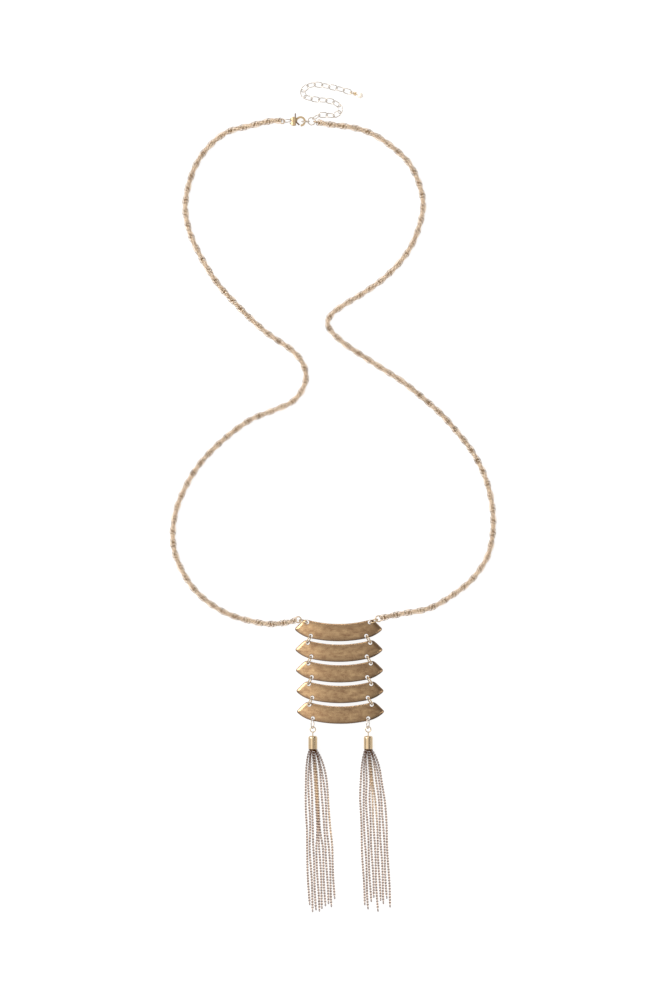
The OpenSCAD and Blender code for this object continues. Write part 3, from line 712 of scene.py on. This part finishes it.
tassel = {
    "mouths": {"left": (-12.1, -150.27), "right": (21.1, -150.27)},  # middle of each cap's mouth, in mm
    "middle": 2.7,
    "mouthRadius": 1.73,
    "headDepth": 4.68,
    "length": 99.3,
    "strandWidth": 0.9,
    "rowRise": 1.02,  # from a strand's middle to that of one lying on it
    "pitch": 1.9,  # between neighbouring strands where they are spread out
    "fan": 10.0,  # length over which the strands spread out
    "shift": 1.2,  # the whole tassel's, to the right, near the cap, and its drift over the whole length
    "drift": 4.6,
    "bundle": {"left": 46.0, "right": 18.0},  # the three middle strands lie stacked down to here
    "bundlePitch": 0.75,
    "tuck": 0.6,
    "partFans": 1.5,  # length over which the stacked strands part, in fans
    "sinkDelay": 0.5,  # in such lengths, of the strand on top, which sinks between the others
    "sinkRate": 1.1,  # for each fan, of all the strands from the cap's mouth down to the surface
    "wave": 0.2,  # a strand's swing to each side
    "waveTurn": 9,  # its degrees for each mm, for each strand and for each tassel
    "waveStrand": 137,
    "waveTassel": {"left": -60, "right": 60},
    # where each strand leaves the cap, in shares of the room there, across and up, and its length in
    # the left and in the right tassel, in shares of the longest
    "strands": [
        (-0.95, 0, 0.96, 0.955), (-0.4, -0.5, 0.99, 0.985), (-0.75, 0.5, 0.985, 0.93),
        (-0.33, 0, 1, 0.91), (0, 0.5, 0.98, 1), (0.33, 0, 0.97, 0.925),
        (0.75, 0.5, 0.95, 0.955), (0.4, -0.5, 0.96, 0.91), (0.95, 0, 0.925, 0.965),
    ],
    "lineSteps": 60,  # along a strand, closer together near the cap
    "stepGrowth": 1.2,
    # outside length and width, wire radius, turn in degrees, and two distances up or down from the
    # link's
    # middle, each with the darkening there: painted shade in the rings' middles and on the connectors'
    # ends, which pass through them; the last link dark all over
    "links": {
        "ring": (1.30, 1.46, 0.18, -20, (0.36, 1.0), (0.58, 0.0)),
        "connector": (1.64, 1.16, 0.14, 45, (0.36, 0.0), (0.50, 1.0)),
        "end": (1.90, 0.90, 0.18, 0, (0.0, 0.95), (1.0, 0.95)),
    },
    "sides": (10, 5),  # of a link, and of its wire
    "ringPitch": 1.66,
    "stagger": (0.0, 0.4, 0.8, 0.2, 0.3, 0.4, 0.8, 0.1, 0.5),  # of a pitch, for each first link
    "connectorAfter": 0.83,  # a connector's middle below its ring's
    "endAfter": 1.21,  # the last link's middle below the last connector's
    "slack": 0.001,  # of a pitch, so that rounding drops no link
    "endRun": 0.01,  # too short a line for a second link
    "dullShare": 0.12,  # of the links, which are more tarnished all over
    "dullness": 0.35,
    "brownRun": 13.0,  # how far the painted shade reaches below the cap, where the strands crowd
    "brownness": 0.92,
    # the painted golden reflection on the strands lying on top in the middle: middle from the tassel's
    # own middle, half width, and where it starts and ends
    "goldSheen": {"left": [(0.0, 1.6, 4.0, 46.0), (7.3, 0.9, 24.0, 72.0)], "right": [(0.9, 2.3, 4.0, 54.0)]},
    "sheenRun": 5.0,  # length over which they start
    "sheenFade": 2.5,  # how steeply they end
    "sheenSharpness": 3.0,  # and how sharp their sides are
    "sheenClears": 0.35,  # share of the painted shade and tarnish that it lacks
}


def eased(x):
    t = min(max(x, 0), 1)
    return t * t * (3 - 2 * t)


def drifted(s, t):
    return s["shift"] * (1 - np.exp(-t / s["fan"])) + s["drift"] * t / s["length"]


def strandPoint(s, k, t, side):
    # The same lines as the solid's strands, t mm below the cap's mouth
    x, z, *_ = s["strands"][k]
    place = k - (len(s["strands"]) - 1) // 2
    bundled = abs(place) <= 1
    parting = (t - s["bundle"][side]) / (s["partFans"] * s["fan"])
    parted = eased(parting)
    fading = math.exp(-t / s["fan"])
    first, end = s["mouthRadius"] * x, place * s["pitch"]
    held = place * s["bundlePitch"] if bundled else end - math.copysign(s["tuck"], place)
    across = held + (first - held) * fading + (end - held) * parted
    low, start = s["strandWidth"] / 2, s["middle"] + 2 * s["rowRise"] * z
    rise = s["rowRise"] if place == 0 else 0
    height = low + rise * (1 - eased(parting - s["sinkDelay"]))
    height += (start - rise - low) * math.exp(-s["sinkRate"] * t / s["fan"])
    swing = s["wave"] * (parted if bundled else 1 - fading)
    turn = s["waveTurn"] * t + s["waveStrand"] * k + s["waveTassel"][side]
    across += swing * math.sin(math.radians(turn))
    return across + drifted(s, t), height


def strandLine(s, k, side):
    x0, y0 = s["mouths"][side]
    _, _, left, right = s["strands"][k]
    end = s["length"] * (left if side == "left" else right)
    steps = s["lineSteps"]
    below = [end * (i / steps) ** s["stepGrowth"] for i in range(steps + 1)]
    line = []
    for t in [-s["headDepth"], *below]:
        x, z = strandPoint(s, k, max(t, 0), side)
        line.append(((x0 + x) * mm, (y0 - t) * mm, z * mm))
    return np.array(line)


def chainPlaces(s, k, line):
    # Where the rings, the connectors and the last link start and end, so that all stay in step
    pitch, first = s["ringPitch"] * mm, s["connectorAfter"] * mm
    start = s["stagger"][k] * pitch
    room = mileage(line)[-1] - start - first - (s["endAfter"] + s["links"]["end"][0] / 2) * mm
    run = (int(room / pitch) + s["slack"]) * pitch
    last = start + first + run + s["endAfter"] * mm
    return {
        "ring": (start, start + run),
        "connector": (start + first, start + first + run),
        "end": (last, last + s["endRun"] * mm),
    }


def dullLinks(s, mesh):
    # Some links, chosen by a fixed seed, are more tarnished all over
    each = s["sides"][0] * s["sides"][1]
    tarnishAndShade = readLayer(mesh, "tarnishAndShade")
    chosen = np.random.default_rng(seed).random(len(tarnishAndShade) // each) < s["dullShare"]
    tarnishAndShade += (1 - tarnishAndShade) * np.repeat(s["dullness"] * chosen, each)
    writeLayer(mesh, "tarnishAndShade", tarnishAndShade)


def markStrands(s, side, mesh):
    # Painted shade: brown below the cap, where the strands crowd in its shade; and a painted golden
    # reflection on the strands in the middle, which lie on top, so they are more golden than the rest
    x0, y0 = s["mouths"][side]
    x, y, _ = vertexPlaces(mesh).T
    below = np.maximum(y0 - y, 0)
    goldSheen = np.zeros(len(x))
    for middle, halfWidth, start, end in s["goldSheen"][side]:
        across = np.abs(x - x0 - drifted(s, below) - middle) / halfWidth
        along = np.clip((below - start) / s["sheenRun"], 0, 1)
        along *= np.clip(s["sheenFade"] * (1 - below / end), 0, 1)
        goldSheen = np.maximum(goldSheen, np.clip(s["sheenSharpness"] * (1 - across), 0, 1) * along)
    tarnishAndShade = readLayer(mesh, "tarnishAndShade")
    tarnishAndShade *= 1 - s["sheenClears"] * goldSheen
    tarnishAndShade += (1 - tarnishAndShade) * s["brownness"] * np.exp(-((below / s["brownRun"]) ** 2))
    writeLayer(mesh, "tarnishAndShade", tarnishAndShade)
    writeLayer(mesh, "goldSheen", goldSheen)


def addTassel(s, side):
    lines = [strandLine(s, k, side) for k in range(len(s["strands"]))]
    places = [chainPlaces(s, k, line) for k, line in enumerate(lines)]
    kinds = []
    for kind, (length, width, wire, turn, core, outside) in s["links"].items():
        values = {
            "Half length": (length / 2 - wire) * mm,
            "Half width": (width / 2 - wire) * mm,
            "Wire radius": wire * mm,
            "Link sides": s["sides"][0],
            "Wire sides": s["sides"][1],
            "Pitch": s["ringPitch"] * mm,
            "First turn": math.radians(turn),
            "Turn": 0.0,
            "Tilt": math.radians(90),
            "Offset": 0.0,
            "Reach axes": (0.0, 0.0, 1.0),
            "Core radius": core[0] * mm,
            "Bright radius": outside[0] * mm,
            "Core tarnish": core[1],
            "Outer tarnish": outside[1],
        }
        cut = [cutLine(line, *place[kind]) for line, place in zip(lines, places)]
        kinds.append(chainMesh(f"tassel_{kind}s_{side}", cut, values, metals["tasselGold"]))
        dullLinks(s, kinds[-1].data)
    strands, *others = kinds
    joinInto(strands, *others)
    markStrands(s, side, strands.data)
    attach(strands, "necklace")
    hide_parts(f"tassel_{side}")
    print("tassel", side, "faces:", len(strands.data.polygons))


for side in ("left", "right"):
    addTassel(tassel, side)


# Plates: crowned crescents with rounded edges and bored holes

plate = {
    "width": 52.4, "height": 10.4, "thickness": 1.2,  # all in mm, as in the solid
    "topWidth": 40.8, "topRadius": 73.0, "bottomRadius": 80.0, "flatWidth": 34.0, "cornerRadius": 19.0,
    "bendRadius": 110.0, "tipRadius": 1.2,
    "holeRadius": 1.15, "holeEdge": 1.5, "topHoles": 37.4, "bottomHoles": 33.2,
    "cornerSoftness": 0.9,
    "crownRun": 2.2, "edgeShare": 0.35,  # width of the crown's fall, and the thickness left at the edge
    "bevel": 0.12, "bevelSegments": 2, "bevelAngle": 50, "sharpAngle": 40,
    "columns": 150, "rows": 30, "outlineSteps": 900, "holeSides": 40, "cutterDepth": 20, "weld": 0.01,
    # painted shade's reach and strength at the upper and the lower edge, where the crown rolls off, for
    # a plate at least so high there
    "edgeRuns": (0.54, 1.26), "edgeShade": (0.5, 0.9), "leastHeight": 0.1,
    "shadeRun": 2.4, "innerShade": 0.44,  # a fainter painted shade farther in
    # painted shade round the holes: its reach and strength
    "holeRun": 0.35, "holeShade": 0.7,
}


def hollowEdge(p, x):
    return p["topRadius"] - math.sqrt(p["topRadius"] ** 2 - x**2)


def cornerCircle(p):
    flat, r, big = p["flatWidth"] / 2, p["cornerRadius"], p["bottomRadius"]
    low = big - p["height"] - math.sqrt(big**2 - flat**2)
    return flat - r * flat / big, low + r * math.sqrt(1 - (flat / big) ** 2), r


def tipCircle(p):
    # The circle that rounds each end touches the slanting end and the lower edge
    r, corner = p["tipRadius"], p["topWidth"] / 2
    cx, cy, big = cornerCircle(p)
    slantSum = corner + hollowEdge(p, corner) - r * math.sqrt(2)
    angle = math.pi / 4 - math.acos((slantSum - cx - cy) / (big - r) / math.sqrt(2))
    return cx + (big - r) * math.cos(angle), cy + (big - r) * math.sin(angle), r


def upperEdge(p, x):
    # The hollow edge and the slanting end meet in a rounded corner
    corner, soft = p["topWidth"] / 2, p["cornerSoftness"]
    cx, cy, r = tipCircle(p)
    if x > cx + r / math.sqrt(2):
        return cy + math.sqrt(max(r**2 - (x - cx) ** 2, 0))
    slant = hollowEdge(p, corner) - (x - corner)
    return -soft * math.log(math.exp(-hollowEdge(p, x) / soft) + math.exp(-slant / soft))


def lowerEdge(p, x):
    big = p["bottomRadius"]
    if x <= p["flatWidth"] / 2:
        return big - p["height"] - math.sqrt(big**2 - x**2)
    cx, cy, r = cornerCircle(p)
    tx, ty, tip = tipCircle(p)
    if x > cx + (tx - cx) * r / (r - tip):
        return ty - math.sqrt(max(tip**2 - (x - tx) ** 2, 0))
    return cy - math.sqrt(max(r**2 - (x - cx) ** 2, 0))


def undersideHeight(p, x):
    big = p["bendRadius"]
    return math.sqrt(big**2 - x**2) - math.sqrt(big**2 - (p["width"] / 2) ** 2)


def plateX(p, share):
    # From one tip (-1) to the other (1), closer together near the tips
    cx, _, r = tipCircle(p)
    return (cx + r) * math.sin(math.pi / 2 * share)


def plateOutline(p):
    outline = []
    for share in np.linspace(-1, 1, p["outlineSteps"]):
        x = plateX(p, share)
        outline += [(x, lowerEdge(p, abs(x))), (x, upperEdge(p, abs(x)))]
    return np.array(outline)


def between(ends, share):
    return ends[0] + (ends[1] - ends[0]) * share


def edgeDistance(outline, x, y):
    return np.min(np.hypot(outline[:, 0] - x, outline[:, 1] - y))


def holePlaces(p):
    top, bottom = p["topHoles"] / 2, p["bottomHoles"] / 2
    topY, bottomY = hollowEdge(p, top) - p["holeEdge"], lowerEdge(p, bottom) + p["holeEdge"]
    return [(-top, topY), (top, topY), (-bottom, bottomY), (bottom, bottomY)]


def markEdges(p, mesh):
    # Painted shade along the edges, where the crown rolls off, more along the lower one, and round the
    # holes
    outline = plateOutline(p)
    holes = holePlaces(p)
    values = []
    for vert in mesh.vertices:
        x, y = vert.co.x / mm, vert.co.y / mm
        lower, upper = lowerEdge(p, abs(x)), upperEdge(p, abs(x))
        low = (upper - y) / max(upper - lower, p["leastHeight"])
        d = edgeDistance(outline, x, y)
        edge = between(p["edgeShade"], low) * math.exp(-((d / between(p["edgeRuns"], low)) ** 2))
        shade = p["innerShade"] * math.exp(-((d / p["shadeRun"]) ** 2))
        hole = min(math.hypot(x - hx, y - hy) - p["holeRadius"] for hx, hy in holes)
        bore = p["holeShade"] * math.exp(-max(hole, 0) / p["holeRun"])
        values.append(max(edge, shade, bore))
    writeLayer(mesh, "tarnishAndShade", values)


def plateMesh(p):
    columns, rows = p["columns"], p["rows"]
    across = [0.5 - 0.5 * math.cos(math.pi * j / rows) for j in range(rows + 1)]
    outline = plateOutline(p)
    body = bmesh.new()
    top, bottom = [], []
    for i in range(columns + 1):
        x = plateX(p, 2 * i / columns - 1)
        low, high = lowerEdge(p, abs(x)), upperEdge(p, abs(x))
        under = undersideHeight(p, x)
        top.append([])
        bottom.append([])
        for share in across:
            y = low + (high - low) * share
            run = min(edgeDistance(outline, x, y) / p["crownRun"], 1)
            rise = p["edgeShare"] + (1 - p["edgeShare"]) * math.sqrt(1 - (1 - run) ** 2)
            for column, z in ((top[i], under + p["thickness"] * rise), (bottom[i], under)):
                column.append(body.verts.new((x * mm, y * mm, z * mm)))
    for i in range(columns):
        for j in range(rows):
            body.faces.new((top[i][j], top[i + 1][j], top[i + 1][j + 1], top[i][j + 1]))
            body.faces.new((bottom[i][j], bottom[i][j + 1], bottom[i + 1][j + 1], bottom[i + 1][j]))
    for i in range(columns):
        body.faces.new((bottom[i][0], bottom[i + 1][0], top[i + 1][0], top[i][0]))
        body.faces.new((bottom[i + 1][-1], bottom[i][-1], top[i][-1], top[i + 1][-1]))
    for j in range(rows):
        body.faces.new((bottom[0][j + 1], bottom[0][j], top[0][j], top[0][j + 1]))
        body.faces.new((bottom[-1][j], bottom[-1][j + 1], top[-1][j + 1], top[-1][j]))
    bmesh.ops.remove_doubles(body, verts=body.verts, dist=p["weld"] * mm)
    bmesh.ops.recalc_face_normals(body, faces=body.faces)
    mesh = bpy.data.meshes.new("crescent")
    body.to_mesh(mesh)
    body.free()
    return mesh


def holeCutter(p):
    cutter = bmesh.new()
    radius = p["holeRadius"] * mm
    for x, y in holePlaces(p):
        made = bmesh.ops.create_cone(cutter, cap_ends=True, segments=p["holeSides"], radius1=radius,
                                     radius2=radius, depth=p["cutterDepth"] * mm)
        bmesh.ops.translate(cutter, verts=made["verts"], vec=(x * mm, y * mm, 0))
    mesh = bpy.data.meshes.new("holes")
    cutter.to_mesh(mesh)
    cutter.free()
    return addPiece("holes", mesh)


def addPlates(p):
    blank, cutter = addPiece("crescent", plateMesh(p)), holeCutter(p)
    bore = blank.modifiers.new("holes", "BOOLEAN")
    bore.operation = "DIFFERENCE"
    bore.solver = "EXACT"
    bore.object = cutter
    bevel = blank.modifiers.new("edges", "BEVEL")
    bevel.width = p["bevel"] * mm
    bevel.segments = p["bevelSegments"]
    bevel.limit_method = "ANGLE"
    bevel.angle_limit = math.radians(p["bevelAngle"])
    shown = blank.evaluated_get(bpy.context.evaluated_depsgraph_get())
    bored = bpy.data.meshes.new_from_object(shown)
    bpy.data.objects.remove(cutter)
    bpy.data.objects.remove(blank)
    bored.shade_smooth()
    bored.set_sharp_from_angle(angle=math.radians(p["sharpAngle"]))
    markEdges(p, bored)
    count = sum(1 for name in nodes if name.startswith("plate_") and "ring" not in name)
    for i in range(1, count + 1):
        low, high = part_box(f"plate_{i}")
        middle = Vector(((low.x + high.x) / 2, high.y - hollowEdge(p, p["topWidth"] / 2) * mm, 0))
        mesh = bored.copy()
        for vert in mesh.vertices:
            vert.co += middle
        mesh.materials.clear()
        mesh.materials.append(metals["antiqueBrass"])
        piece = addPiece(f"crescent_plate_{i}", mesh)
        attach(piece, "necklace")
        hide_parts(f"plate_{i}")
    print("plates:", count, "faces each:", len(bored.polygons))


addPlates(plate)


# The rest keeps its solids and gets its finishes; the bead, which none of these names fits, is pearl

nodeFinishes = {
    "plate_ring": "claspGold",
    "chain_ring": "claspGold",
    "tassel_ring": "silveryGold",
    "tassel_cap": "polishedGold",
    "clasp_body": "claspGold",
    "clasp_lever": "darkLever",
    "clasp_tail_ring": "silveryGold",
    "catch_ring": "silveryGold",
    "end_ring": "silveryGold",
    "extender_link": "silveryGold",
    "extender_drop": "polishedGold",
}

for name, node in nodes.items():
    if node.hide_render:
        continue
    finish = next((f for start, f in nodeFinishes.items() if name.startswith(start)), None)
    for slot in node.material_slots:
        slot.material = metals[finish] if finish else pearl
print("solids finished")
